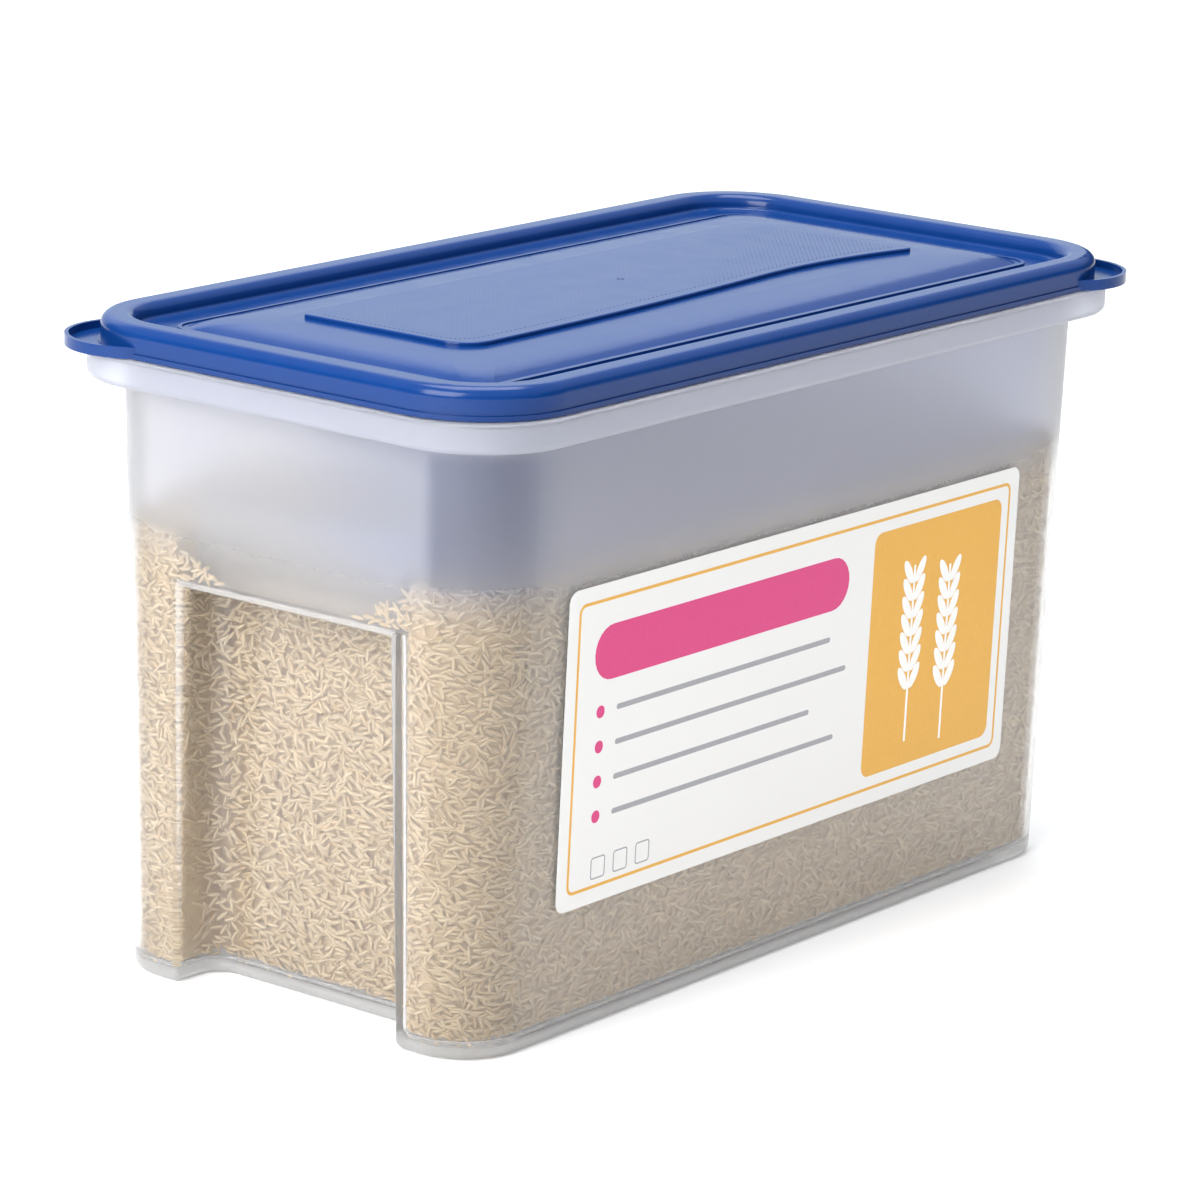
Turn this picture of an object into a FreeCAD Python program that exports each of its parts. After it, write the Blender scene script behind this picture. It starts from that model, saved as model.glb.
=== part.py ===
import FreeCAD, Part
import Sketcher
import math
import os

# Food storage container: translucent tub, press-on lid with its seal, and a label.
# Origin at the middle of the foot, +X along the length, -Y towards the labelled wall, +Z up.

V = FreeCAD.Vector
doc = FreeCAD.newDocument("food_container")

# Driving dimensions in millimetres and degrees
SIZES = {
    "mouth_length": 406.0,
    "mouth_width": 195.5,
    "mouth_corner": 30.0,
    "wall": 2.0,
    "draft_angle": 1.3,
    "ledge_height": 252.0,
    "rim_rise": 9.5,
    "ledge_margin": 2.3,
    "flange_corner": 40.0,
    "flange_drop": 11.5,
    "flange_plate": 2.0,
    "flange_wall": 3.2,
    "flange_flat": 0.4,
    "ledge_round": 1.4,
    "bead_reach": 6.0,
    "bead_drop": 3.5,
    "bead_round": 1.2,
    "floor_height": 5.5,
    "floor_thickness": 2.5,
    "floor_round": 4.0,
    "foot_band": 9.0,
    "foot_round": 4.0,
    "grip_side": 10.75,
    "grip_taper": 1.0,
    "grip_depth": 23.0,
    "grip_height": 163.0,
    "grip_corner": 10.0,
    "grip_edge": 1.6,
    "grip_root": 3.25,
    "well_side": 6.0,
    "well_rise": 32.0,
    "well_gap": 5.0,
    "well_corner": 3.0,
    "lid_wall": 2.0,
    "skirt_gap": 0.4,
    "skirt_wall": 1.8,
    "skirt_lip_reach": 0.9,
    "skirt_lip_height": 2.0,
    "snap_gap": 0.5,
    "snap_reach": 1.2,
    "snap_height": 2.0,
    "plug_clearance": 0.5,
    "plug_wall": 1.8,
    "rim_round": 4.5,
    "rim_inner_round": 4.5,
    "tray_depth": 6.5,
    "tray_round": 1.5,
    "panel_wall": 1.8,
    "field_inset": 16.0,
    "field_step": 0.5,
    "field_rib_width": 1.6,
    "field_rib_rise": 0.5,
    "crown_rise": 4.2,
    "crown_foot": 4.0,
    "crown_end": 28.7,
    "crown_side": 30.45,
    "crown_corner": 16.0,
    "wave_end": 8.0,
    "wave_side": 6.5,
    "wave_step": 1.7,
    "wave_slope": 5.0,
    "wave_middle": 50.0,
    "wave_corner": 14.0,
    "wave_tip": 3.0,
    "wave_edge": 0.8,
    "ear_inset": 23.5,
    "ear_radius": 30.0,
    "ear_border": 1.6,
    "ear_web": 1.5,
    "ear_height": 4.5,
    "seal_gap": 0.2,
    "seal_thickness": 1.3,
    "seal_side": 0.5,
    "label_end": 21.0,
    "label_height": 128.0,
    "label_corner": 5.0,
    "label_thickness": 0.3,
    "label_middle": 115.0,
    "label_glue": 0.05,
}

sheet = doc.addObject("Spreadsheet::Sheet", "Sizes")
for row, (alias, number) in enumerate(SIZES.items(), 1):
    sheet.set(f"A{row}", alias)
    sheet.set(f"B{row}", str(number))
    sheet.setAlias(f"B{row}", alias)
doc.recompute()

# Sizes that follow from the driving ones
LEAN = "tan(Sizes.draft_angle * 1 deg)"
BASE_HALF = f"(Sizes.mouth_length / 2 + Sizes.wall - Sizes.ledge_height * {LEAN})"
SHELF = "(Sizes.grip_height + Sizes.wall)"
WELL_TOP = f"({SHELF} + Sizes.well_rise)"
GRIP_HALF = "(Sizes.mouth_width / 2 - Sizes.mouth_corner - Sizes.grip_side)"
WELL_HALF = f"({GRIP_HALF} - Sizes.well_side)"
RIM = "(Sizes.ledge_height + Sizes.rim_rise)"
SNAP_LINE = "(Sizes.wall + Sizes.bead_reach + Sizes.snap_gap)"
SKIRT_INSIDE = f"({SNAP_LINE} + Sizes.snap_reach)"
LID_REACH = f"({SKIRT_INSIDE} + Sizes.skirt_wall)"
LIP_REACH = f"({LID_REACH} + Sizes.skirt_lip_reach)"
FLANGE_REACH = f"({LIP_REACH} + Sizes.ledge_margin)"
LID_FOOT = "(Sizes.ledge_height + Sizes.skirt_gap)"
ROOF = f"({RIM} + Sizes.seal_gap + Sizes.seal_thickness)"
LID_TOP = f"({ROOF} + Sizes.lid_wall)"
TRAY = f"({LID_TOP} - Sizes.tray_depth)"
FIELD = f"({TRAY} + Sizes.field_step)"
CROWN = f"({FIELD} + Sizes.crown_rise)"
PLUG_INSIDE = "(Sizes.plug_clearance + Sizes.plug_wall)"


def value(text):
    """Number that an expression on the sheet gives."""
    return float(sheet.evalExpression(text))


def plane_of(body, role):
    """One of the body's own origin planes."""
    for feature in body.Origin.OriginFeatures:
        if feature.Role == role:
            return feature


def new_body(name):
    """Empty body that becomes one sub-part."""
    body = doc.addObject("PartDesign::Body", name)
    body.Label = name
    return body


def new_sketch(body, name, height):
    """Level sketch at a height that the sheet drives."""
    sketch = body.newObject("Sketcher::SketchObject", name)
    sketch.AttachmentSupport = [(plane_of(body, "XY_Plane"), "")]
    sketch.MapMode = "FlatFace"
    sketch.setExpression("AttachmentOffset.Base.z", height)
    return sketch


def pin(sketch, geometry, point, x_text, y_text):
    """Ties a point of the sketch to its place from the origin."""
    for kind, axis, text in (("DistanceX", -2, x_text), ("DistanceY", -1, y_text)):
        number = value(text)
        if abs(number) < 1e-9:
            sketch.addConstraint(Sketcher.Constraint("PointOnObject", geometry, point, axis))
            continue
        if number > 0:
            ends = (-1, 1, geometry, point)
            bound = text
        else:
            ends = (geometry, point, -1, 1)
            bound = f"-({text})"
        index = sketch.addConstraint(Sketcher.Constraint(kind, *ends, abs(number)))
        sketch.setExpression(f"Constraints[{index}]", bound)


def corner_arc(middle, radius, start, end):
    """The shorter arc between two points, always turning to the left."""
    if (start - middle).cross(end - middle).z < 0:
        start, end = end, start
    first = math.atan2(start.y - middle.y, start.x - middle.x)
    last = math.atan2(end.y - middle.y, end.x - middle.x)
    return Part.ArcOfCircle(Part.Circle(middle, V(0, 0, 1), radius), first, last)


def rounded_outline(sketch, corners):
    """Closed outline of straight edges with rounded corners, as (x, y, radius) expressions."""
    count = len(corners)
    points = [V(value(x), value(y), 0) for x, y, _ in corners]
    cuts = []
    arcs = []
    for i, corner in enumerate(corners):
        here = points[i]
        back = (points[i - 1] - here).normalize()
        ahead = (points[(i + 1) % count] - here).normalize()
        turn = back.getAngle(ahead)
        radius = value(corner[2])
        reach = radius / math.tan(turn / 2)
        start = here + back * reach
        end = here + ahead * reach
        middle = here + (back + ahead).normalize() * (radius / math.sin(turn / 2))
        arcs.append(corner_arc(middle, radius, start, end))
        cuts.append((start, end))
    lines = []
    rounds = []
    for i in range(count):
        edge = Part.LineSegment(cuts[i][1], cuts[(i + 1) % count][0])
        lines.append(sketch.addGeometry(edge))
    for i in range(count):
        rounds.append(sketch.addGeometry(arcs[i]))
    for i, (x_text, y_text, radius_text) in enumerate(corners):
        mark = sketch.addGeometry(Part.Point(points[i]), True)
        pin(sketch, mark, 1, x_text, y_text)
        before = lines[i - 1]
        after = lines[i]
        sketch.addConstraint(Sketcher.Constraint("PointOnObject", mark, 1, before))
        sketch.addConstraint(Sketcher.Constraint("PointOnObject", mark, 1, after))
        arc = sketch.Geometry[rounds[i]]
        first = 1 if arc.StartPoint.distanceToPoint(cuts[i][0]) < 1e-6 else 2
        sketch.addConstraint(Sketcher.Constraint("Tangent", before, 2, rounds[i], first))
        sketch.addConstraint(Sketcher.Constraint("Tangent", after, 1, rounds[i], 3 - first))
        index = sketch.addConstraint(Sketcher.Constraint("Radius", rounds[i], value(radius_text)))
        sketch.setExpression(f"Constraints[{index}]", radius_text)


def rectangle(half_x, half_y, radius):
    """Corners of a centred rounded rectangle."""
    signs = ((1, 1), (-1, 1), (-1, -1), (1, -1))
    return [(f"{sx} * ({half_x})", f"{sy} * ({half_y})", radius) for sx, sy in signs]


def mouth(reach):
    """The mouth's outline moved out by a reach."""
    half_x = f"Sizes.mouth_length / 2 + ({reach})"
    half_y = f"Sizes.mouth_width / 2 + ({reach})"
    return rectangle(half_x, half_y, f"Sizes.mouth_corner + ({reach})")


def sketch_of(body, name, height, *outlines):
    """Level sketch that holds one or more closed outlines."""
    sketch = new_sketch(body, name, height)
    for corners in outlines:
        rounded_outline(sketch, corners)
    doc.recompute()
    return sketch


def extrude(body, kind, name, sketch, length, down=False, taper=None):
    """Pad or pocket of a sketch with its length, and a taper if it has one."""
    feature = body.newObject(f"PartDesign::{kind}", name)
    feature.Profile = sketch
    feature.setExpression("Length", length)
    feature.Reversed = down if kind == "Pad" else not down
    if taper is not None:
        feature.setExpression("TaperAngle", taper)
    sketch.Visibility = False
    doc.recompute()
    return feature


def pad_up(body, name, sketch, length, taper=None):
    return extrude(body, "Pad", name, sketch, length, False, taper)


def pad_down(body, name, sketch, length, taper=None):
    return extrude(body, "Pad", name, sketch, length, True, taper)


def cut_up(body, name, sketch, length, taper=None):
    return extrude(body, "Pocket", name, sketch, length, False, taper)


def cut_down(body, name, sketch, length, taper=None):
    return extrude(body, "Pocket", name, sketch, length, True, taper)


def level_edges(shape, height, keep):
    """Names of the level edges at a height that a test keeps."""
    names = []
    for number, edge in enumerate(shape.Edges, 1):
        box = edge.BoundBox
        if abs(box.ZMin - height) < 0.02 and abs(box.ZMax - height) < 0.02 and keep(box):
            names.append(f"Edge{number}")
    return names


def round_over(body, name, edges, radius):
    """Fillet on named edges of the body's last feature."""
    fillet = body.newObject("PartDesign::Fillet", name)
    fillet.Base = (body.Tip if body.Tip != fillet else fillet.BaseFeature, edges)
    fillet.setExpression("Radius", radius)
    doc.recompute()
    return fillet


# Tub: drafted block, straight rim band, flange and rim bead
tub = new_body("tub")
wall_line = sketch_of(tub, "wall_line", "Sizes.ledge_height", mouth("Sizes.wall"))
pad_down(tub, "wall_block", wall_line, "Sizes.ledge_height", "-Sizes.draft_angle")

rim_line = sketch_of(tub, "rim_line", "Sizes.ledge_height", mouth("Sizes.wall"))
pad_up(tub, "rim_band", rim_line, "Sizes.rim_rise")


def flange(inset):
    """Outline of the flange, drawn in by an inset."""
    half_x = f"Sizes.mouth_length / 2 + {FLANGE_REACH} - {inset}"
    half_y = f"Sizes.mouth_width / 2 + {FLANGE_REACH} - {inset}"
    return rectangle(half_x, half_y, f"Sizes.flange_corner - {inset}")


plate_line = sketch_of(tub, "plate_line", "Sizes.ledge_height", flange("0"))
pad_down(tub, "flange_plate", plate_line, "Sizes.flange_plate")

skirt_line = sketch_of(
    tub,
    "flange_skirt_line",
    "Sizes.ledge_height",
    flange("0"),
    flange("Sizes.flange_wall"),
)
pad_down(tub, "flange_skirt", skirt_line, "Sizes.flange_drop")

bead_line = sketch_of(tub, "bead_line", RIM, mouth("Sizes.wall + Sizes.bead_reach"))
pad_down(tub, "rim_bead", bead_line, "Sizes.bead_drop")

# Inside of the tub: straight at the rim, then drafted in three levels down to the floor
mouth_line = sketch_of(tub, "mouth_line", RIM, mouth("0"))
cut_down(tub, "mouth_cut", mouth_line, "Sizes.rim_rise")

upper_line = sketch_of(tub, "upper_line", "Sizes.ledge_height", mouth("0"))
cut_down(tub, "upper_room", upper_line, f"Sizes.ledge_height - {SHELF}", "-Sizes.draft_angle")


def end_wall(height):
    """Inside face of the end wall at a height."""
    return f"(Sizes.mouth_length / 2 - (Sizes.ledge_height - {height}) * {LEAN})"


def well_box(side, height, grow):
    """Outline of one finger well at a height, grown by a wall where it is the housing."""
    rise = f"({height} - Sizes.grip_height) * {LEAN}"
    front = f"({end_wall('Sizes.grip_height')} - Sizes.well_gap - Sizes.wall - {rise} + {grow})"
    back = f"({BASE_HALF} - Sizes.grip_depth + Sizes.grip_height * {LEAN} + {rise} - {grow})"
    half = f"({WELL_HALF} - {rise} + {grow})"
    radius = f"Sizes.well_corner + {grow}"
    return [
        (f"{side} * {front}", half, radius),
        (f"{side} * {back}", half, radius),
        (f"{side} * {back}", f"-{half}", radius),
        (f"{side} * {front}", f"-{half}", radius),
    ]


def grip_notch(height, grow):
    """Corners of one grip recess from its front edge in, at a height and grown by a wall."""
    shrink = f"({height} * {LEAN})"
    back = f"({BASE_HALF} - Sizes.grip_depth + {shrink} - {grow})"
    half = f"({GRIP_HALF} - {shrink} + {grow})"
    half_back = f"({GRIP_HALF} - Sizes.grip_taper - {shrink} + {grow})"
    return back, half, half_back


# Lower room: the inside outline with a notch at each end for the grip recess
room_inset = f"-(Sizes.ledge_height - {SHELF}) * {LEAN}"
room_x = end_wall(SHELF)
room_y = f"(Sizes.mouth_width / 2 + {room_inset})"
room_corner = f"(Sizes.mouth_corner + {room_inset})"
notch_back, notch_half, notch_half_back = grip_notch(SHELF, "Sizes.wall")
notch_entry = f"Sizes.grip_root + {SHELF} * {LEAN}"
notch_corner = "Sizes.grip_corner + Sizes.wall"
lower_corners = []
for side, turn in ((1, 1), (-1, -1)):
    lower_corners.append((f"{side} * {room_x}", f"{-turn} * {room_y}", room_corner))
    lower_corners.append((f"{side} * {room_x}", f"{-turn} * {notch_half}", notch_entry))
    lower_corners.append((f"{side} * {notch_back}", f"{-turn} * {notch_half_back}", notch_corner))
    lower_corners.append((f"{side} * {notch_back}", f"{turn} * {notch_half_back}", notch_corner))
    lower_corners.append((f"{side} * {room_x}", f"{turn} * {notch_half}", notch_entry))
    lower_corners.append((f"{side} * {room_x}", f"{turn} * {room_y}", room_corner))
lower_line = sketch_of(tub, "lower_line", SHELF, lower_corners)
cut_down(tub, "lower_room", lower_line, f"{SHELF} - Sizes.floor_height", "-Sizes.draft_angle")

# Housing of the finger well on the shelf at each end
for side, word in ((1, "right"), (-1, "left")):
    housing = well_box(side, SHELF, "Sizes.wall")
    housing_line = sketch_of(tub, f"housing_line_{word}", SHELF, housing)
    pad_up(tub, f"housing_{word}", housing_line, f"{WELL_TOP} - {SHELF}", "-Sizes.draft_angle")

# Grip recess and finger well at each end, cut from the foot
for side, word in ((1, "right"), (-1, "left")):
    back, half, half_back = grip_notch("0", "0")
    front = f"({BASE_HALF} + Sizes.grip_depth)"
    recess = [
        (f"{side} * {front}", half, "Sizes.grip_edge"),
        (f"{side} * {back}", half_back, "Sizes.grip_corner"),
        (f"{side} * {back}", f"-{half_back}", "Sizes.grip_corner"),
        (f"{side} * {front}", f"-{half}", "Sizes.grip_edge"),
    ]
    grip_line = sketch_of(tub, f"grip_line_{word}", "0", recess)
    cut_up(tub, f"grip_{word}", grip_line, "Sizes.grip_height", "-Sizes.draft_angle")
    well_line = sketch_of(
        tub, f"well_line_{word}", "Sizes.grip_height", well_box(side, "Sizes.grip_height", "0")
    )
    cut_up(tub, f"well_{word}", well_line, "Sizes.well_rise", "-Sizes.draft_angle")

# Sunk middle of the foot
sunk_x = f"{BASE_HALF} - Sizes.grip_depth - Sizes.wall - Sizes.foot_band"
sunk_y = f"Sizes.mouth_width / 2 + Sizes.wall - Sizes.ledge_height * {LEAN} - Sizes.foot_band"
sunk_line = sketch_of(tub, "sunk_line", "0", rectangle(sunk_x, sunk_y, "Sizes.grip_corner"))
cut_up(tub, "sunk_foot", sunk_line, "Sizes.floor_height - Sizes.floor_thickness")

# Rounded edges of the tub
foot_x = value(BASE_HALF)


def on_rim(reach_text):
    """Test for edges that lie on the mouth's outline moved out by a reach."""
    reach_x = value(f"Sizes.mouth_length / 2 + {reach_text}")
    reach_y = value(f"Sizes.mouth_width / 2 + {reach_text}")

    def keep(box):
        far_x = max(abs(box.XMin), abs(box.XMax))
        far_y = max(abs(box.YMin), abs(box.YMax))
        along_x = abs(far_y - reach_y) < 0.05 and far_x < reach_x + 0.05
        along_y = abs(far_x - reach_x) < 0.05 and far_y < reach_y + 0.05
        return along_x or along_y

    return keep


def everywhere(box):
    return True


def grip_edges(shape):
    """Front edges of the grip recesses, on the outside of the end walls."""
    names = []
    for number, edge in enumerate(shape.Edges, 1):
        on_wall = True
        for point in [vertex.Point for vertex in edge.Vertexes]:
            face_x = foot_x + point.z * value(LEAN)
            if abs(abs(point.x) - face_x) > 0.05 or abs(point.y) > value(GRIP_HALF) + 0.05:
                on_wall = False
            if point.z > value("Sizes.grip_height") + 0.05:
                on_wall = False
        if on_wall and edge.BoundBox.ZMax > 1:
            names.append(f"Edge{number}")
    return names


flange_foot = value("Sizes.ledge_height - Sizes.flange_drop")
edges = level_edges(tub.Shape, flange_foot, on_rim(FLANGE_REACH))
round_over(tub, "flange_foot_round", edges, "Sizes.flange_wall - Sizes.flange_flat")
edges = level_edges(tub.Shape, value("Sizes.ledge_height"), on_rim(FLANGE_REACH))
round_over(tub, "ledge_round", edges, "Sizes.ledge_round")
edges = level_edges(tub.Shape, value(RIM), on_rim("Sizes.wall + Sizes.bead_reach"))
round_over(tub, "bead_round", edges, "Sizes.bead_round")
edges = level_edges(tub.Shape, value("Sizes.floor_height"), everywhere)
round_over(tub, "floor_round", edges, "Sizes.floor_round")


def at_foot_edge(box):
    sunk_edge_x = max(abs(box.XMin), abs(box.XMax)) < value(sunk_x) + 0.05
    sunk_edge_y = max(abs(box.YMin), abs(box.YMax)) < value(sunk_y) + 0.05
    return not (sunk_edge_x and sunk_edge_y)


edges = grip_edges(tub.Shape)
round_over(tub, "grip_edge", edges, "Sizes.grip_edge")
edges = level_edges(tub.Shape, 0.0, at_foot_edge)
round_over(tub, "foot_round", edges, "Sizes.foot_round")

# Lid: block with its lip and pull tabs, then the tray above and the channel below
lid = new_body("lid")
block_line = sketch_of(lid, "block_line", LID_FOOT, mouth(LID_REACH))
pad_up(lid, "lid_block", block_line, f"{LID_TOP} - {LID_FOOT}")

lip_line = sketch_of(lid, "lip_line", LID_FOOT, mouth(LIP_REACH))
pad_up(lid, "skirt_lip", lip_line, "Sizes.skirt_lip_height")

ear_x = f"(Sizes.mouth_length / 2 + {LID_REACH} - Sizes.ear_inset)"
ear_y = f"(Sizes.mouth_width / 2 + {LID_REACH} - Sizes.ear_inset)"


def ear_circles(sketch, radius_text):
    """One circle round each of the two tab corners."""
    for side in (1, -1):
        x_text = f"{side} * {ear_x}"
        y_text = f"{-side} * {ear_y}"
        middle = V(value(x_text), value(y_text), 0)
        circle = sketch.addGeometry(Part.Circle(middle, V(0, 0, 1), value(radius_text)))
        pin(sketch, circle, 3, x_text, y_text)
        index = sketch.addConstraint(Sketcher.Constraint("Radius", circle, value(radius_text)))
        sketch.setExpression(f"Constraints[{index}]", radius_text)


web_line = new_sketch(lid, "ear_web_line", LID_FOOT)
ear_circles(web_line, "Sizes.ear_radius")
pad_up(lid, "ear_webs", web_line, "Sizes.ear_web")

border_line = new_sketch(lid, "ear_border_line", LID_FOOT)
ear_circles(border_line, "Sizes.ear_radius")
ear_circles(border_line, "Sizes.ear_radius - Sizes.ear_border")
pad_up(lid, "ear_borders", border_line, "Sizes.ear_height")

tray_line = sketch_of(lid, "tray_line", LID_TOP, mouth(f"-{PLUG_INSIDE}"))
cut_down(lid, "tray", tray_line, "Sizes.tray_depth")

channel_line = sketch_of(
    lid, "channel_line", LID_FOOT, mouth(SKIRT_INSIDE), mouth("-Sizes.plug_clearance")
)
cut_up(lid, "channel", channel_line, f"{ROOF} - {LID_FOOT}")

hollow_line = sketch_of(lid, "hollow_line", LID_FOOT, mouth(f"-{PLUG_INSIDE}"))
cut_up(lid, "hollow", hollow_line, f"{TRAY} - Sizes.panel_wall - {LID_FOOT}")

snap_line = sketch_of(
    lid,
    "snap_line",
    LID_FOOT,
    mouth(f"{LID_REACH} - Sizes.skirt_wall / 2"),
    mouth(SNAP_LINE),
)
pad_up(lid, "snap_rib", snap_line, "Sizes.snap_height")

# Crowned field in the tray, hollow from below
FIELD_INSET = f"({PLUG_INSIDE} + Sizes.field_inset)"
field_x = f"(Sizes.mouth_length / 2 - {FIELD_INSET})"
field_y = f"(Sizes.mouth_width / 2 - {FIELD_INSET})"
field_corner = f"(Sizes.mouth_corner - {FIELD_INSET})"
crown_x = f"({field_x} - Sizes.crown_end)"
crown_y = f"({field_y} - Sizes.crown_side)"


foot_corner = f"({field_corner} - Sizes.crown_foot)"
CROWN_PROFILE = (("foot", 0, 0), ("shoulder", 0.16, 0.45), ("brow", 0.42, 0.8), ("top", 1, 1))


def crown_levels(prefix, drop, inset):
    """Outlines from the crown's foot to its flat top, lowered and drawn in for the underside."""
    levels = []
    for word, share, rise in CROWN_PROFILE:
        half_x = f"({field_x} - Sizes.crown_foot) * (1 - {share}) + {crown_x} * {share} - {inset}"
        half_y = f"({field_y} - Sizes.crown_foot) * (1 - {share}) + {crown_y} * {share} - {inset}"
        radius = f"{foot_corner} * (1 - {share}) + Sizes.crown_corner * {share} - {inset}"
        height = f"{FIELD} + Sizes.crown_rise * {rise} - {drop}"
        corners = rectangle(half_x, half_y, radius)
        levels.append(sketch_of(lid, f"{prefix}_{word}", height, corners))
    return levels


def loft(kind, name, levels):
    """Smooth loft through a stack of level outlines."""
    feature = lid.newObject(f"PartDesign::{kind}", name)
    feature.Profile = levels[0]
    feature.Sections = levels[1:]
    feature.Ruled = False
    for level in levels:
        level.Visibility = False
    doc.recompute()
    return feature


step_line = sketch_of(lid, "field_step_line", TRAY, rectangle(field_x, field_y, field_corner))
pad_up(lid, "field_step", step_line, "Sizes.field_step")
loft("AdditiveLoft", "crown", crown_levels("crown", "0", "0"))
rib_line = sketch_of(
    lid,
    "field_rib_line",
    TRAY,
    rectangle(field_x, field_y, field_corner),
    rectangle(
        f"{field_x} - Sizes.field_rib_width",
        f"{field_y} - Sizes.field_rib_width",
        f"{field_corner} - Sizes.field_rib_width",
    ),
)
pad_up(lid, "field_rib", rib_line, "Sizes.field_step + Sizes.field_rib_rise")
relief = rectangle(
    f"{field_x} - Sizes.panel_wall",
    f"{field_y} - Sizes.panel_wall",
    f"{field_corner} - Sizes.panel_wall",
)
relief_line = sketch_of(lid, "relief_line", f"{TRAY} - Sizes.panel_wall", relief)
cut_up(lid, "field_relief", relief_line, "Sizes.field_step")
loft("SubtractiveLoft", "crown_relief", crown_levels("relief", "Sizes.panel_wall", "Sizes.panel_wall"))

# Raised wave panel: long edges that swing in and flare out, the same after half a turn
wave_x = f"({crown_x} - Sizes.wave_end)"
wave_y = f"({crown_y} - Sizes.wave_side)"
slope = "(Sizes.wave_slope * 1 deg)"
swing = f"((Sizes.wave_middle + {wave_x} - Sizes.wave_corner) / sin({slope}))"
middle_y = f"(-{wave_y} + {swing} * (1 - cos({slope})))"
flare_x = f"({wave_x} - Sizes.wave_middle)"
flare_y = f"({wave_y} + {middle_y})"
flare_angle = f"({slope} + atan({flare_y} / {flare_x}))"
flare = f"(sqrt({flare_x} ^ 2 + {flare_y} ^ 2) / (2 * sin({flare_angle})))"
half_wave = [
    (f"-{wave_x}", wave_y, None, 1),
    (f"-{wave_x}", f"Sizes.wave_corner - {wave_y}", "Sizes.wave_corner", 1),
    (f"Sizes.wave_corner - {wave_x}", f"-{wave_y}", swing, 1),
    ("Sizes.wave_middle", middle_y, flare, -1),
]


def curved_outline(sketch, nodes):
    """Closed outline through nodes; each stretch is straight or an arc turning left or right."""
    points = [V(value(x), value(y), 0) for x, y, _, _ in nodes]
    stretches = []
    for i, (x_text, y_text, radius_text, turn) in enumerate(nodes):
        start = points[i]
        end = points[(i + 1) % len(points)]
        if radius_text is None:
            index = sketch.addGeometry(Part.LineSegment(start, end))
            stretches.append((index, 1, 2))
            continue
        radius = value(radius_text)
        chord = end - start
        side = V(-chord.y, chord.x, 0).normalize() * turn
        height = math.sqrt(radius ** 2 - (chord.Length / 2) ** 2)
        middle = start + chord * 0.5 + side * height
        index = sketch.addGeometry(corner_arc(middle, radius, start, end))
        stretches.append((index, 1, 2) if turn > 0 else (index, 2, 1))
        mark = sketch.addConstraint(Sketcher.Constraint("Radius", index, radius))
        sketch.setExpression(f"Constraints[{mark}]", radius_text)
    for i, (x_text, y_text, _, _) in enumerate(nodes):
        index, first, _ = stretches[i]
        before, _, last = stretches[i - 1]
        sketch.addConstraint(Sketcher.Constraint("Coincident", before, last, index, first))
        pin(sketch, index, first, x_text, y_text)


wave_line = new_sketch(lid, "wave_line", CROWN)
whole_wave = half_wave + [(f"-({x})", f"-({y})", r, turn) for x, y, r, turn in half_wave]
curved_outline(wave_line, whole_wave)
doc.recompute()
pad_up(lid, "wave_panel", wave_line, "Sizes.wave_step")

# Rounded edges of the lid
edges = level_edges(lid.Shape, value(LID_TOP), on_rim(LID_REACH))
round_over(lid, "rim_round", edges, "Sizes.rim_round")
edges = level_edges(lid.Shape, value(LID_TOP), on_rim(f"(-{PLUG_INSIDE})"))
round_over(lid, "rim_inner_round", edges, "Sizes.rim_inner_round")
edges = level_edges(lid.Shape, value(TRAY), on_rim(f"(-{PLUG_INSIDE})"))
round_over(lid, "tray_round", edges, "Sizes.tray_round")

tip_edges = []
for number, edge in enumerate(lid.Shape.Edges, 1):
    box = edge.BoundBox
    upright = box.ZLength > value("Sizes.wave_step") - 0.02 and box.XLength + box.YLength < 0.02
    at_end = abs(abs(box.XMin) - value(wave_x)) < 0.02 and abs(abs(box.YMin) - value(wave_y)) < 0.02
    if upright and at_end:
        tip_edges.append(f"Edge{number}")
round_over(lid, "wave_tips", tip_edges, "Sizes.wave_tip")
wave_top = value(f"{CROWN} + Sizes.wave_step")
round_over(lid, "wave_edge", level_edges(lid.Shape, wave_top, everywhere), "Sizes.wave_edge")

# Seal: flat ring on the roof of the lid's channel
lid_seal = new_body("lid_seal")
seal_line = sketch_of(
    lid_seal,
    "seal_line",
    f"{RIM} + Sizes.seal_gap",
    mouth(f"{SKIRT_INSIDE} - Sizes.seal_side"),
    mouth("Sizes.seal_side - Sizes.plug_clearance"),
)
pad_up(lid_seal, "seal_ring", seal_line, "Sizes.seal_thickness")

# Label on the long wall that leans with the draft
label = new_body("label")
label_x = "Sizes.mouth_length / 2 - Sizes.mouth_corner - Sizes.label_end"
label_line = sketch_of(
    label,
    "label_line",
    "0",
    rectangle(label_x, "Sizes.label_height / 2", "Sizes.label_corner"),
)
pad_up(label, "label_film", label_line, "Sizes.label_thickness")
label.Placement = FreeCAD.Placement(V(0, 0, 0), FreeCAD.Rotation(V(1, 0, 0), 90))
wall_face = f"Sizes.mouth_width / 2 + Sizes.wall - (Sizes.ledge_height - Sizes.label_middle) * {LEAN}"
label.setExpression("Placement.Base.y", f"-({wall_face} + Sizes.label_glue)")
label.setExpression("Placement.Base.z", "Sizes.label_middle")
label.setExpression("Placement.Rotation.Angle", "90 + Sizes.draft_angle")
doc.recompute()

# Every feature must have built before the files are written
for item in doc.Objects:
    if "Invalid" in item.State or "Error" in item.State:
        raise RuntimeError(f"{item.Name} did not build: {item.getStatusString()}")

os.makedirs("parts", exist_ok=True)
for body in (tub, lid, lid_seal, label):
    shape = body.Shape
    if shape.isNull() or not shape.isValid() or len(shape.Solids) != 1:
        raise RuntimeError(f"{body.Label} is not one sound solid")
    shape.exportStep(f"parts/{body.Label}.step")
    box = shape.optimalBoundingBox()
    print(body.Label, round(shape.Volume), box)
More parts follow.
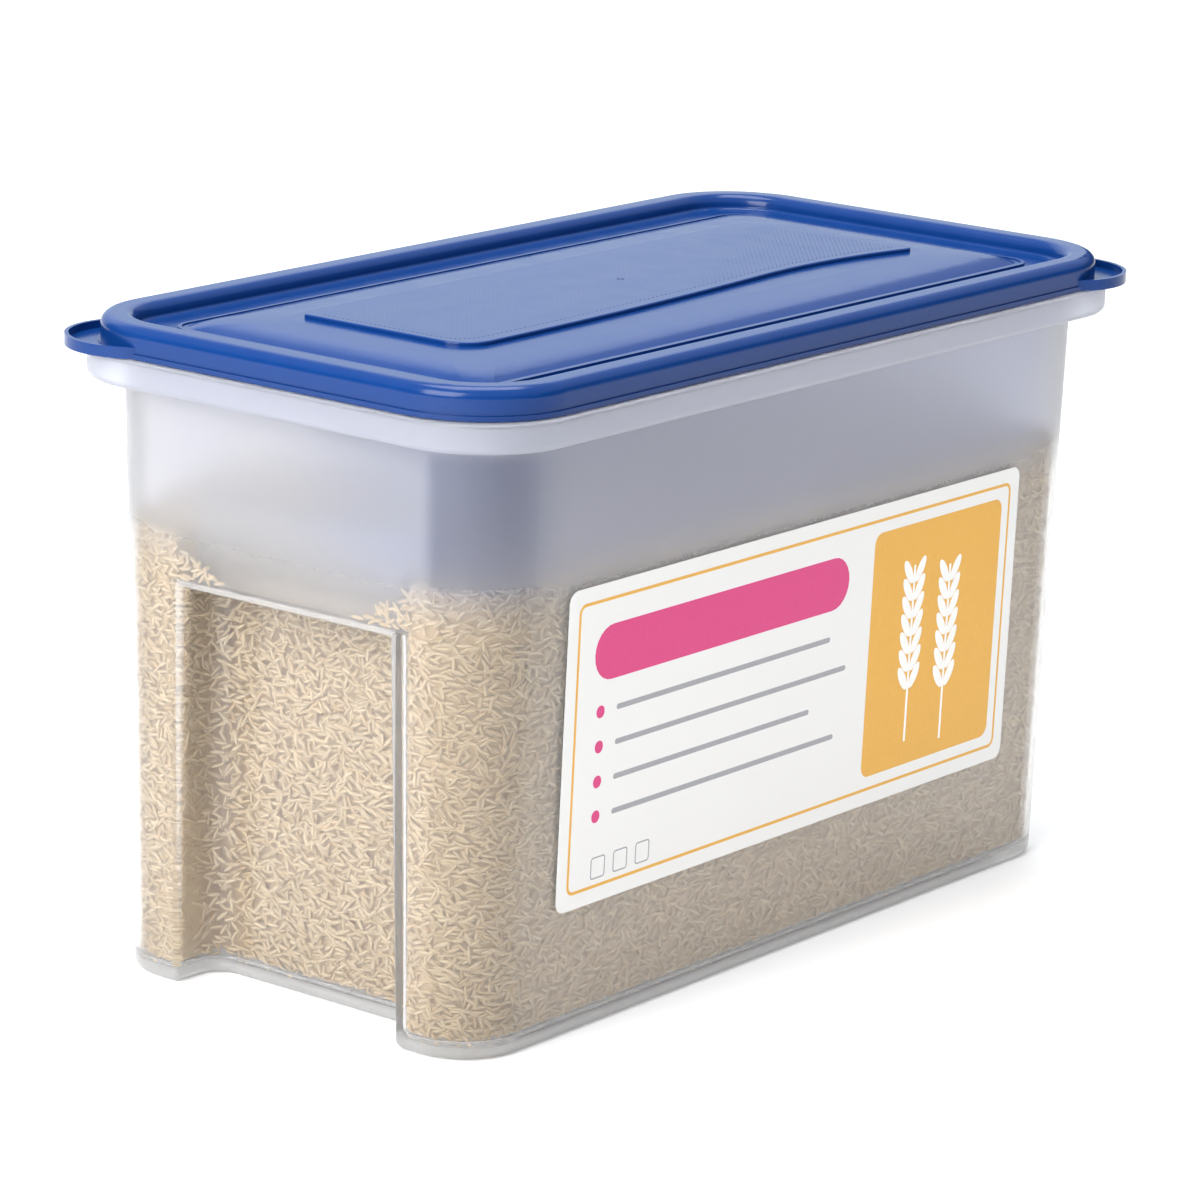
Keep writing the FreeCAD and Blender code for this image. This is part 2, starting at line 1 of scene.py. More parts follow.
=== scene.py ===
# %% [markdown]
# # A food storage container, filled with rice
# The real object is a tall see-through tub with a blue press-on lid and a paper label.
# The construction model already holds those pieces, so this lesson gives them their finishes.
# It then adds what only the eye needs: the lid's fine ribs, the print on the label, and the rice.

# %% Load the construction model
import bpy
import math
import numpy as np
from mathutils import Matrix, Vector


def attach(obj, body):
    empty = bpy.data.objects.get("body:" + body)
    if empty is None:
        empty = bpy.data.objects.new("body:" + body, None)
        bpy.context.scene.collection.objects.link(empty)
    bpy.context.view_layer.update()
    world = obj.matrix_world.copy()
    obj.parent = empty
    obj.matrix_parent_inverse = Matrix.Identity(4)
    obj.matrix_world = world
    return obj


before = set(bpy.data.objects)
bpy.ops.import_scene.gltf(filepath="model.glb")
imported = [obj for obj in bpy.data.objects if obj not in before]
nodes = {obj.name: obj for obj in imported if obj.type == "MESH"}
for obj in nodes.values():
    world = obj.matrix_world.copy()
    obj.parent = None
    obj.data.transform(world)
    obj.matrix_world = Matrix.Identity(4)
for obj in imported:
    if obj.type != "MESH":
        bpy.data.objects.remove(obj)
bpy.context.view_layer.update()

bpy.ops.object.select_all(action="DESELECT")

# %% [markdown]
# ## Small tools
# Sizes in this lesson are in millimetres and the scene is in metres, so `MM` turns one into the other.
# The first helpers pick an object, name it, edit its mesh, cut it with another, or give it a finish.

# %% Helpers for objects
MM = 0.001


def pick(piece):
    bpy.ops.object.select_all(action="DESELECT")
    piece.select_set(True)
    bpy.context.view_layer.objects.active = piece
    return piece


def named(name):
    piece = bpy.context.view_layer.objects.active
    piece.name = name
    piece.data.name = name
    return pick(piece)


def settle(piece):
    pick(piece)
    bpy.ops.object.transform_apply(location=True, rotation=True, scale=True)


def edit_chosen(piece, kind, test):
    pick(piece)
    bpy.ops.object.mode_set(mode="EDIT")
    bpy.ops.mesh.select_mode(type=kind)
    bpy.ops.mesh.select_all(action="DESELECT")
    bpy.ops.object.mode_set(mode="OBJECT")
    for part in piece.data.polygons if kind == "FACE" else piece.data.edges:
        part.select = test([piece.data.vertices[i].co for i in part.vertices])
    bpy.ops.object.mode_set(mode="EDIT")


def edit_all(piece):
    pick(piece)
    bpy.ops.object.mode_set(mode="EDIT")
    bpy.ops.mesh.select_all(action="SELECT")


def thicken(rise):
    bpy.ops.mesh.extrude_region_move(TRANSFORM_OT_translate={"value": (0, 0, rise * MM)})
    bpy.ops.mesh.select_all(action="SELECT")
    bpy.ops.mesh.normals_make_consistent(inside=False)


def done_editing():
    bpy.ops.object.mode_set(mode="OBJECT")


def combine(piece, tool, operation):
    pick(piece)
    change = piece.modifiers.new("combine", "BOOLEAN")
    change.operation = operation
    change.object = tool
    change.solver = "EXACT"
    bpy.ops.object.modifier_apply(modifier=change.name)
    bpy.data.objects.remove(tool)


def dress(piece, material):
    piece.data.materials.clear()
    piece.data.materials.append(material)


# %% [markdown]
# The other helpers wire up the nodes of a material, one line for each step. `ramp` rises smoothly from
# one value to another, `band` is 1 close to a value and 0 elsewhere, and `times` multiplies masks.

# %% Helpers for materials
def new_finish(name, **values):
    material = bpy.data.materials.new(name)
    material.use_nodes = True
    shader = material.node_tree.nodes["Principled BSDF"]
    for label, number in values.items():
        shader.inputs[label.replace("_", " ")].default_value = number
    return material, material.node_tree, shader


def node(tree, kind, inputs=(), **settings):
    made = tree.nodes.new(kind)
    for label, setting in settings.items():
        setattr(made, label, setting)
    for key, entry in dict(inputs).items():
        if isinstance(entry, bpy.types.NodeSocket):
            tree.links.new(entry, made.inputs[key])
        else:
            made.inputs[key].default_value = entry
    return made


def calc(tree, operation, first, second=0.0):
    made = node(tree, "ShaderNodeMath", {0: first, 1: second}, operation=operation)
    return made.outputs[0]


def plus(tree, first, *others):
    for other in others:
        first = calc(tree, "ADD", first, other)
    return first


def times(tree, first, *others):
    for other in others:
        first = calc(tree, "MULTIPLY", first, other)
    return first


def band(tree, entry, middle, half):
    made = node(tree, "ShaderNodeMath", {0: entry, 1: middle, 2: half}, operation="COMPARE")
    return made.outputs[0]


def ramp(tree, entry, low, high, out_low=0.0, out_high=1.0):
    ends = {"From Min": low, "From Max": high, "To Min": out_low, "To Max": out_high}
    made = node(tree, "ShaderNodeMapRange", {"Value": entry, **ends}, interpolation_type="SMOOTHSTEP")
    return made.outputs["Result"]


def noise(tree, spot, scale, detail):
    inputs = {"Vector": spot, "Scale": scale, "Detail": detail}
    return node(tree, "ShaderNodeTexNoise", inputs).outputs["Fac"]


def blend_colour(tree, share, first, second):
    ends = [end if isinstance(end, bpy.types.NodeSocket) else (*end, 1) for end in (first, second)]
    made = node(tree, "ShaderNodeMix", {0: share, 6: ends[0], 7: ends[1]}, data_type="RGBA")
    return made.outputs[2]


def place_of(tree):
    spot = node(tree, "ShaderNodeTexCoord").outputs["Object"]
    split = node(tree, "ShaderNodeSeparateXYZ", {0: spot})
    return spot, split.outputs


# %% [markdown]
# ## The tub's frosted plastic
# The tub is moulded in milky polypropylene. Its mould is polished at the upright corners, where the
# grains inside look sharp, and finely etched on the flat walls, where they look soft.
# A rough see-through shader gives both: the `corner` mask is high where a point is near a corner in plan.
# Above the rice the inside is dusty with starch, and the foot is scuffed, so both are hazier.
#
# The walls lean outwards by the mould's draft. `LEDGE` is the height where they meet the rim's flange,
# `INSIDE_X`, `INSIDE_Y` and `INSIDE_R` are half the inside's length, half its width and its corner
# radius at that height, and `END_FACE` is where the end wall's outside lies there.

# %% Frosted plastic and its zones
LEAN = math.radians(1.3)
TAN = math.tan(LEAN)
LEDGE, WALL = 252.0, 2.0
INSIDE_X, INSIDE_Y, INSIDE_R = 203.0, 97.75, 30.0
END_FACE = INSIDE_X + WALL
GRIP_HALF, GRIP_TOP = 54.2, 164.0

END_ZONE = (150 * MM, 186 * MM)
SIDE_ZONE = (66 * MM, 76 * MM)
CORNER_STOP = (240 * MM, 232 * MM)
RICE_LINE = (166 * MM, 198 * MM)
FOOT_ZONE = (9 * MM, 4 * MM)

frosted, tree, shader = new_finish(
    "frosted_polypropylene", IOR=1.45, Sheen_Weight=0.4, Sheen_Roughness=0.35
)
spot, (x, y, z) = place_of(tree)
far_x = calc(tree, "ABSOLUTE", x)
far_y = calc(tree, "ABSOLUTE", y)
near_end = ramp(tree, far_x, *END_ZONE)
near_side = ramp(tree, far_y, *SIDE_ZONE)
corner = times(tree, near_end, near_side, ramp(tree, z, *CORNER_STOP))
bare = ramp(tree, z, *RICE_LINE)
foot = ramp(tree, z, *FOOT_ZONE)

# %% How rough it is
SIDE_ROUGH, END_ROUGH, BARE_ROUGH, FOOT_ROUGH = 0.17, 0.15, 0.2, 0.2
GRAIN_SCALE, GRAIN_ROUGH = 900.0, 0.03
POLISH = 0.3
grain = noise(tree, spot, GRAIN_SCALE, 3.0)
etched = ramp(tree, near_end, 0.0, 1.0, SIDE_ROUGH, END_ROUGH)
etched = plus(tree, etched, times(tree, grain, GRAIN_ROUGH), times(tree, bare, BARE_ROUGH))
polished = times(tree, corner, calc(tree, "SUBTRACT", 1.0, bare), POLISH)
etched = calc(tree, "SUBTRACT", etched, times(tree, polished, etched))
tree.links.new(plus(tree, etched, times(tree, foot, FOOT_ROUGH)), shader.inputs["Roughness"])

# %% [markdown]
# Where the wall turns into the grip recess the plastic is thicker, so the recess has a milky outline.
# The end wall leans, and `outward` follows it: it has the same value all over the wall's face.

# %% How milky it is
CLEAR, DUST_HAZE, FOOT_HAZE, GRIP_HAZE = 0.95, 0.15, 0.2, 0.2
CORNER_WIPED = 0.7
FACE_ZONE = ((END_FACE - 2.6) * MM, (END_FACE - 1.6) * MM)
LINE_HALF = 1.7 * MM
BELOW_GRIP_TOP = (166 * MM, 164 * MM)
WITHIN_GRIP = (56 * MM, 54 * MM)
dusty = times(tree, bare, calc(tree, "SUBTRACT", 1.0, times(tree, corner, CORNER_WIPED)))
outward = plus(tree, far_x, times(tree, calc(tree, "SUBTRACT", LEDGE * MM, z), TAN))
at_face = ramp(tree, outward, *FACE_ZONE)
upright = times(tree, band(tree, far_y, GRIP_HALF * MM, LINE_HALF), ramp(tree, z, *BELOW_GRIP_TOP))
level = times(tree, band(tree, z, GRIP_TOP * MM, LINE_HALF), ramp(tree, far_y, *WITHIN_GRIP))
grip_edge = times(tree, at_face, calc(tree, "MAXIMUM", upright, level))
veil = plus(tree, times(tree, dusty, DUST_HAZE), times(tree, foot, FOOT_HAZE))
veil = plus(tree, veil, times(tree, grip_edge, GRIP_HAZE))
tree.links.new(calc(tree, "SUBTRACT", CLEAR, veil), shader.inputs["Transmission Weight"])

# %% [markdown]
# Above the rice the plastic carries painted shade and a painted reflection of the lid's blue. It is
# greyer blue on the long wall than on the lit end wall, bluest at the corner between the label and the
# near grip, and blue-grey in a band just under the lid's rim. The corners are a little darker all the way
# down.

# %% What colour it takes, with painted shade and a painted reflection of the lid
# The paler end wall and the greyer-blue long wall are a lit and a shaded copy of the milky plastic:
# painted light and shade.
MILKY_SIDE_SHADED, MILKY_END_LIT = (0.75, 0.765, 0.88), (0.82, 0.815, 0.835)
# These two blues are painted shade and a painted reflection of the blue lid, not a tint of the plastic.
BLUE_SHADE_PAINTED_END, BLUE_SHADE_PAINTED_CORNER = (0.73, 0.755, 0.87), (0.61, 0.665, 0.87)
FLANGE = (0.74, 0.755, 0.83)
FILLED_WALL, FILLED_CORNER = (0.93, 0.92, 0.92), (0.84, 0.82, 0.80)
FRONT_ZONE, LEFT_ZONE = (20 * MM, -72 * MM), (-120 * MM, -170 * MM)
FLANGE_ZONE = (236 * MM, 242 * MM)
# This mask marks where the painted blue shade is strongest: the front-left corner by the label.
painted_blue_zone = times(tree, ramp(tree, y, *FRONT_ZONE), ramp(tree, x, *LEFT_ZONE))
above = blend_colour(tree, near_end, MILKY_SIDE_SHADED, MILKY_END_LIT)
above = blend_colour(tree, times(tree, near_end, painted_blue_zone), above, BLUE_SHADE_PAINTED_END)
above = blend_colour(tree, times(tree, corner, painted_blue_zone), above, BLUE_SHADE_PAINTED_CORNER)
above = blend_colour(tree, ramp(tree, z, *FLANGE_ZONE), above, FLANGE)
below = blend_colour(tree, corner, FILLED_WALL, FILLED_CORNER)
tree.links.new(blend_colour(tree, bare, below, above), shader.inputs["Base Color"])
dress(nodes["tub"], frosted)
print("tub finish:", frosted.name)

# %% [markdown]
# ## The lid's blue plastic
# The lid is a glossy, solid blue moulding. Moulded gloss is never perfect: the skin has a faint
# orange-peel waviness, so a very weak bump and a little change in roughness break up its reflections.

# %% Blue gloss
BLUE_DARK, BLUE_LIGHT = (0.003, 0.034, 0.168), (0.004, 0.039, 0.186)
CLOUD_SCALE, SKIN_SCALE = 60.0, 420.0
blue, tree, shader = new_finish("blue_gloss", IOR=1.5, Specular_IOR_Level=0.28)
spot, _ = place_of(tree)
cloud = noise(tree, spot, CLOUD_SCALE, 4.0)
tree.links.new(ramp(tree, cloud, 0.3, 0.7, 0.17, 0.22), shader.inputs["Roughness"])
skin = noise(tree, spot, SKIN_SCALE, 2.0)
bump = node(tree, "ShaderNodeBump", {"Height": skin, "Strength": 0.04, "Distance": 0.2 * MM})
tree.links.new(bump.outputs["Normal"], shader.inputs["Normal"])
tree.links.new(blend_colour(tree, cloud, BLUE_DARK, BLUE_LIGHT), shader.inputs["Base Color"])
dress(nodes["lid"], blue)

# %% [markdown]
# The seal under the lid is soft silicone: pale, a little dusty and without gloss.

# %% Seal rubber
SEAL_COLOUR, DUST_SCALE = (0.82, 0.84, 0.85, 1), 300.0
rubber, tree, shader = new_finish("silicone", Base_Color=SEAL_COLOUR, Roughness=0.6, IOR=1.4)
spot, _ = place_of(tree)
dust = noise(tree, spot, DUST_SCALE, 4.0)
tree.links.new(ramp(tree, dust, 0.3, 0.7, 0.52, 0.68), shader.inputs["Roughness"])
dress(nodes["lid_seal"], rubber)
print("lid finishes:", blue.name, rubber.name)

# %% [markdown]
# ## Fine ribs on the lid's wave panel
# The raised panel is covered with fine straight ribs that run slantwise across it.
# One rib is a long thin bar with a narrower top. An array repeats it, and a boolean keeps only
# what lies over the panel, whose outline is taken from the construction model's own top face.
# The ribs stand so little proud that the lid's rim stays the highest place of the object.

# %% Outline of the panel's top face
WAVE_TOP, PROUD = 264.9, 0.09
FLAT_WITHIN, WELD = 0.02, 0.01
RIBBED_SHARE = (0.975, 0.86, 1)
CUTTER_TALL, CUTTER_SUNK = 1, 0.15


def off_panel(points):
    return any(abs(p.z - WAVE_TOP * MM) > FLAT_WITHIN * MM for p in points)


panel = nodes["lid"].copy()
panel.data = nodes["lid"].data.copy()
panel.parent = None
bpy.context.collection.objects.link(panel)
edit_chosen(panel, "FACE", off_panel)
bpy.ops.mesh.delete(type="FACE")
bpy.ops.mesh.select_all(action="SELECT")
bpy.ops.mesh.remove_doubles(threshold=WELD * MM)
bpy.ops.transform.resize(value=RIBBED_SHARE, center_override=(0, 0, 0))
thicken(CUTTER_TALL)
bpy.ops.transform.translate(value=(0, 0, -CUTTER_SUNK * MM))
done_editing()
print("panel outline:", len(panel.data.vertices), "points")

# %% Ribs cut to that outline
RIB_PITCH, RIB_COUNT = 1.8, 152
RIB_LONG, RIB_WIDE, RIB_TALL = 420, 1.75, 0.36
RIB_TOP_SHARE = 0.25
RIB_TURN = math.radians(40)
bpy.ops.mesh.primitive_cube_add(size=1)
ribs = named("lid_panel_ribs")
ribs.scale = (RIB_LONG * MM, RIB_WIDE * MM, RIB_TALL * MM)
settle(ribs)
edit_chosen(ribs, "FACE", lambda points: all(p.z > 0 for p in points))
bpy.ops.transform.resize(value=(1, RIB_TOP_SHARE, 1))
done_editing()
ribs.location = (0, -RIB_PITCH * (RIB_COUNT - 1) / 2 * MM, 0)
settle(ribs)
array = ribs.modifiers.new("repeat", "ARRAY")
array.use_relative_offset = False
array.use_constant_offset = True
array.constant_offset_displace = (0, RIB_PITCH * MM, 0)
array.count = RIB_COUNT
bpy.ops.object.modifier_apply(modifier=array.name)
ribs.rotation_euler = (0, 0, RIB_TURN)
ribs.location = (0, 0, (WAVE_TOP + PROUD - RIB_TALL / 2) * MM)
settle(ribs)
combine(ribs, panel, "INTERSECT")
dress(ribs, blue)
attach(ribs, "lid")
print("ribs:", len(ribs.data.polygons), "faces")

# %% [markdown]
# A small round mark is left in the middle of the lid where the plastic ran into the mould.

# %% Gate mark
GATE_RADIUS, GATE_TALL = 1.6, 0.4
gate_place = (0, 0, (WAVE_TOP + PROUD - GATE_TALL / 2) * MM)
bpy.ops.mesh.primitive_cylinder_add(
    vertices=24, radius=GATE_RADIUS * MM, depth=GATE_TALL * MM, location=gate_place
)
gate = named("lid_gate_mark")
settle(gate)
dress(gate, blue)
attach(gate, "lid")

# %% [markdown]
# ## The label and its print
# The label is a white paper sticker with a satin varnish. Its print is ink, so each colour is a film a
# few hundredths of a millimetre thick that lies on the paper. The design is a plain one made for this
# lesson: an amber panel with pale ears of grain, a pink band, a thin frame, and rows of ruled lines.

# %% Paper and inks
PAPER_COLOUR, FIBRE_SCALE, INK_SCALE = (0.8, 0.79, 0.77, 1), 700.0, 500.0
paper, tree, shader = new_finish("satin_paper", Base_Color=PAPER_COLOUR, Roughness=0.4, IOR=1.45)
spot, _ = place_of(tree)
fibre = noise(tree, spot, FIBRE_SCALE, 5.0)
tree.links.new(ramp(tree, fibre, 0.3, 0.7, 0.34, 0.46), shader.inputs["Roughness"])
dress(nodes["label"], paper)


def ink(name, dark, light):
    made, tree, shader = new_finish(name, Roughness=0.38, IOR=1.45)
    spot, _ = place_of(tree)
    cloud = noise(tree, spot, INK_SCALE, 4.0)
    tree.links.new(blend_colour(tree, cloud, dark, light), shader.inputs["Base Color"])
    return made


amber = ink("amber_ink", (0.72, 0.36, 0.03), (0.78, 0.42, 0.05))
pink = ink("pink_ink", (0.62, 0.02, 0.17), (0.68, 0.03, 0.2))
grey = ink("grey_ink", (0.3, 0.3, 0.32), (0.36, 0.36, 0.38))
white = ink("white_ink", (0.88, 0.87, 0.84), (0.92, 0.91, 0.88))

# %% [markdown]
# The label lies flat on a wall that leans outwards by the mould's draft. Each ink piece is drawn flat
# at the origin, then one matrix turns it upright, leans it and sets it on the label's face.

# %% Ink shapes on the label
LABEL_MIDDLE, GLUE = 115.0, 0.05
PAPER_TOP, INK_FILM = 0.305, 0.03
label_out = (INSIDE_Y + WALL - (LEDGE - LABEL_MIDDLE) * TAN + GLUE) * MM
to_label = Matrix.Translation((0, -label_out, LABEL_MIDDLE * MM))
on_label = to_label @ Matrix.Rotation(math.pi / 2 + LEAN, 4, "X")


def patch(middle, size, corner, height=PAPER_TOP):
    bpy.ops.mesh.primitive_plane_add(size=1)
    piece = bpy.context.view_layer.objects.active
    piece.scale = (size[0] * MM, size[1] * MM, 1)
    piece.location = (middle[0] * MM, middle[1] * MM, height * MM)
    settle(piece)
    edit_all(piece)
    bpy.ops.mesh.bevel(offset=corner * MM, segments=6, affect="VERTICES")
    done_editing()
    return piece


def ring(middle, size, corner, width):
    piece = patch(middle, size, corner)
    edit_all(piece)
    bpy.ops.mesh.inset(thickness=width * MM)
    bpy.ops.mesh.delete(type="FACE")
    done_editing()
    return piece


def print_layer(name, pieces, material):
    bpy.ops.object.select_all(action="DESELECT")
    for piece in pieces:
        piece.select_set(True)
    bpy.context.view_layer.objects.active = pieces[0]
    bpy.ops.object.join()
    layer = named(name)
    edit_all(layer)
    thicken(INK_FILM)
    done_editing()
    layer.data.transform(on_label)
    layer.data.materials.append(material)
    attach(layer, "container")
    print(name, len(layer.data.polygons), "faces")


# %% [markdown]
# Places and sizes of the print are in millimetres from the label's middle.

# %% Frame, panel, band, dots and lines
FIRST_ROW, ROW_STEP = 13, 14
border = ring((0, 0), (292, 116), corner=4, width=1.3)
amber_panel = patch((94, 0), (92, 104), corner=5)
print_layer("label_print_amber", [border, amber_panel], amber)

bands = [patch((-52, 36), (166, 22), corner=10.9)]
for row in range(4):
    bands.append(patch((-130, FIRST_ROW - ROW_STEP * row), (5, 5), corner=2.4))
print_layer("label_print_pink", bands, pink)

lines = []
for row, length in enumerate((140, 152, 128, 146)):
    line_middle = (-120 + length / 2, FIRST_ROW - ROW_STEP * row)
    lines.append(patch(line_middle, (length, 2.2), corner=1.05))
for column in range(3):
    lines.append(ring((-127 + 14 * column, -50), (9, 9), corner=1.5, width=0.6))
print_layer("label_print_grey", lines, grey)

# %% [markdown]
# The ears of grain are rows of leaf-shaped ovals along a stem, in pale ink on the amber panel.

# %% Ears of grain
EAR_TOP = PAPER_TOP + 0.035
STEM_WIDE, STEM_LONG, STEM_RISE = 1.4, 76, 36
LEAF_WIDE, LEAF_LONG, LEAF_TURN, LEAF_OUT = 2.3, 6, 0.55, 4.2
LEAF_ROWS, LEAF_FIRST, LEAF_STEP = 7, 26, 7.6
ears = []
for stem_x, foot_y in ((78, -40), (104, -44)):
    ears.append(patch((stem_x, foot_y + STEM_RISE), (STEM_WIDE, STEM_LONG), 0.5, EAR_TOP))
    for row in range(LEAF_ROWS):
        for side in (-1, 1):
            bpy.ops.mesh.primitive_circle_add(vertices=16, radius=1, fill_type="NGON")
            leaf = bpy.context.view_layer.objects.active
            leaf.scale = (LEAF_WIDE * MM, LEAF_LONG * MM, 1)
            leaf.rotation_euler = (0, 0, -side * LEAF_TURN)
            height = foot_y + LEAF_FIRST + row * LEAF_STEP
            leaf.location = ((stem_x + side * LEAF_OUT) * MM, height * MM, EAR_TOP * MM)
            settle(leaf)
            ears.append(leaf)
print_layer("label_print_ears", ears, white)

# %% [markdown]
# ## Rice
# The tub in the picture is full of pale, long-grain rice up to about seven tenths of its height.
# A plain block with a rice-coloured skin fills the middle. What shows through the walls and from above
# is a layer of real grains. One grain is a small stretched sphere, and its copies are laid along the
# inside of the walls with a little chance in their place, turn and size.

# %% Rice finish
RICE_DARK, RICE_LIGHT = (0.66, 0.46, 0.24), (0.97, 0.82, 0.56)
CHALK_SCALE, TONE_SHARE, CHALK_SHARE = 260.0, 0.75, 0.25
rice_skin, tree, shader = new_finish("rice", Roughness=0.55, IOR=1.4)
spot, _ = place_of(tree)
tone = node(tree, "ShaderNodeAttribute", attribute_name="grain_tone").outputs["Fac"]
chalk = noise(tree, spot, CHALK_SCALE, 3.0)
mixed = plus(tree, times(tree, tone, TONE_SHARE), times(tree, chalk, CHALK_SHARE))
tree.links.new(blend_colour(tree, mixed, RICE_DARK, RICE_LIGHT), shader.inputs["Base Color"])

# %% [markdown]
# The inside of the tub narrows towards the floor, and each end has a housing that bulges in behind the
# grip recess. The next cell draws that outline once, at the height where the housing ends, as points
# with the direction that leads into the rice. At other heights the points move along that direction.

# %% Inside outline of the tub
SHELF = 165.0
ROOM_X = INSIDE_X - (LEDGE - SHELF) * TAN
ROOM_Y = INSIDE_Y - (LEDGE - SHELF) * TAN
ROOM_R = INSIDE_R - (LEDGE - SHELF) * TAN
BACK_X, NOTCH_Y = 178.03, 55.26
NOTCH_R, BACK_R, NOTCH_TAPER = 7, 12, 1


def rounded_path(corners, step=0.5):
    count = len(corners)
    here = [np.array(c[:2], float) for c in corners]
    points, inward = [], []
    for i, (_, _, radius) in enumerate(corners):
        back = here[i - 1] - here[i]
        ahead = here[(i + 1) % count] - here[i]
        back /= np.linalg.norm(back)
        ahead /= np.linalg.norm(ahead)
        half = math.acos(np.clip(back @ ahead, -1, 1)) / 2
        start = here[i] + back * radius / math.tan(half)
        end = here[i] + ahead * radius / math.tan(half)
        middle = here[i] + (back + ahead) / np.linalg.norm(back + ahead) * radius / math.sin(half)
        left = -back[0] * ahead[1] + back[1] * ahead[0] > 0
        first = math.atan2(*(start - middle)[::-1])
        sweep = (math.pi - 2 * half) * (1 if left else -1)
        for angle in first + np.linspace(0, sweep, max(3, int(abs(sweep) * radius / step))):
            way = np.array((math.cos(angle), math.sin(angle)))
            points.append(middle + way * radius)
            inward.append(-way if left else way)
        following = corners[(i + 1) % count]
        ahead_2 = here[(i + 2) % count] - here[(i + 1) % count]
        ahead_2 /= np.linalg.norm(ahead_2)
        turn = math.acos(np.clip(-ahead @ ahead_2, -1, 1)) / 2
        stop = here[(i + 1) % count] - ahead * following[2] / math.tan(turn)
        run = np.linalg.norm(stop - end)
        for share in np.linspace(0, 1, max(2, int(run / step)))[1:-1]:
            points.append(end + (stop - end) * share)
            inward.append(np.array((-ahead[1], ahead[0])))
    return np.array(points), np.array(inward)


lower_corners = []
for s in (1, -1):
    lower_corners += [
        (s * ROOM_X, -s * ROOM_Y, ROOM_R),
        (s * ROOM_X, -s * NOTCH_Y, NOTCH_R),
        (s * BACK_X, -s * (NOTCH_Y - NOTCH_TAPER), BACK_R),
        (s * BACK_X, s * (NOTCH_Y - NOTCH_TAPER), BACK_R),
        (s * ROOM_X, s * NOTCH_Y, NOTCH_R),
        (s * ROOM_X, s * ROOM_Y, ROOM_R),
    ]
lower_path = rounded_path(lower_corners)
turns = ((1, -1), (1, 1), (-1, 1), (-1, -1))
upper_path = rounded_path([(sx * ROOM_X, sy * ROOM_Y, ROOM_R) for sx, sy in turns])
print("outline points:", len(lower_path[0]), len(upper_path[0]))

# %% [markdown]
# The top of the rice swells and ripples a little, and dips towards the ends. Over the housings it lies
# lower still, in a bank that rises to both sides.

# %% Height of the rice
FILL, SWELL, RIPPLE = 188.5, 1.3, 0.8
DIP, DIP_START, DIP_RUN = 5.0, 150, 50
BANK_X, BANK_Y, BANK_LOW, BANK_FLAT, BANK_SLOPE = 180, 57, 160, 20, 0.5


def rice_level(px, py):
    swell = SWELL * np.sin(px / 55 + 0.6) * np.cos(py / 38)
    ripple = RIPPLE * np.sin(px / 17 + py / 23)
    end_dip = np.clip((np.abs(px) - DIP_START) / DIP_RUN, 0, 1)
    return FILL + (swell + ripple) - DIP * end_dip


def gap_level(base):
    over_shelf = (np.abs(base[:, 0]) > BANK_X) & (np.abs(base[:, 1]) < BANK_Y)
    rise = np.clip(np.abs(base[:, 1]) - BANK_FLAT, 0, BANK_Y - BANK_FLAT)
    return np.where(over_shelf, BANK_LOW + rise * BANK_SLOPE, rice_level(base[:, 0], base[:, 1]))


# %% [markdown]
# One grain is modelled by hand: a small sphere of few faces, stretched, with a slight bend.

# %% One grain
GRAIN_HALF = (3.2, 0.84, 0.76)
BEND, BEND_DROP = 0.02, 0.1
bpy.ops.mesh.primitive_uv_sphere_add(segments=5, ring_count=4, radius=1)
seed = named("grain_seed")
seed.rotation_euler = (0, math.pi / 2, 0)
settle(seed)
seed.scale = GRAIN_HALF
settle(seed)
grain_points = np.array([v.co[:] for v in seed.data.vertices])
grain_points[:, 2] += BEND * grain_points[:, 0] ** 2 - BEND_DROP
grain_faces = [tuple(f.vertices) for f in seed.data.polygons]
bpy.data.objects.remove(seed)
print("one grain:", len(grain_points), "points,", len(grain_faces), "faces")

# %% [markdown]
# Grains along a wall lie in cells of a grid that is wrapped round the outline, one grain to a cell. Each
# lies nearly flat against the wall, and `fillet` keeps it clear of the rounded edge of the floor.
# Grains on top lie in a flat grid, turned any way round. The seed of the random numbers is fixed.

# %% Where the grains lie
rng = np.random.default_rng(11)
CELL_ALONG, CELL_UP = 3.0, 2.2
WALL_TILT, WALL_TURN = 0.13, 0.75
SKIN_GAP, TILT_ROOM, DEPTH_SPREAD = 1.05, 3.3, 1.5
FILLET, FILLET_TOP = 4.0, 9.5
TOP_X, TOP_Y, TOP_STEP_X, TOP_STEP_Y = 198, 93, 3.2, 2.5
TOP_LOW, TOP_HIGH, TOP_TILT = -1.2, 0.9, 0.16
WELL_X, WELL_Y, EDGE_GAP, TOP_SPAN = 174, 57, 2.6, 200


def unit(rows):
    return rows / np.linalg.norm(rows, axis=1, keepdims=True)


def turned(along, across, angle):
    return along * np.cos(angle)[:, None] + across * np.sin(angle)[:, None]


def square_to(way, normal):
    return unit(normal - way * np.sum(normal * way, axis=1)[:, None])


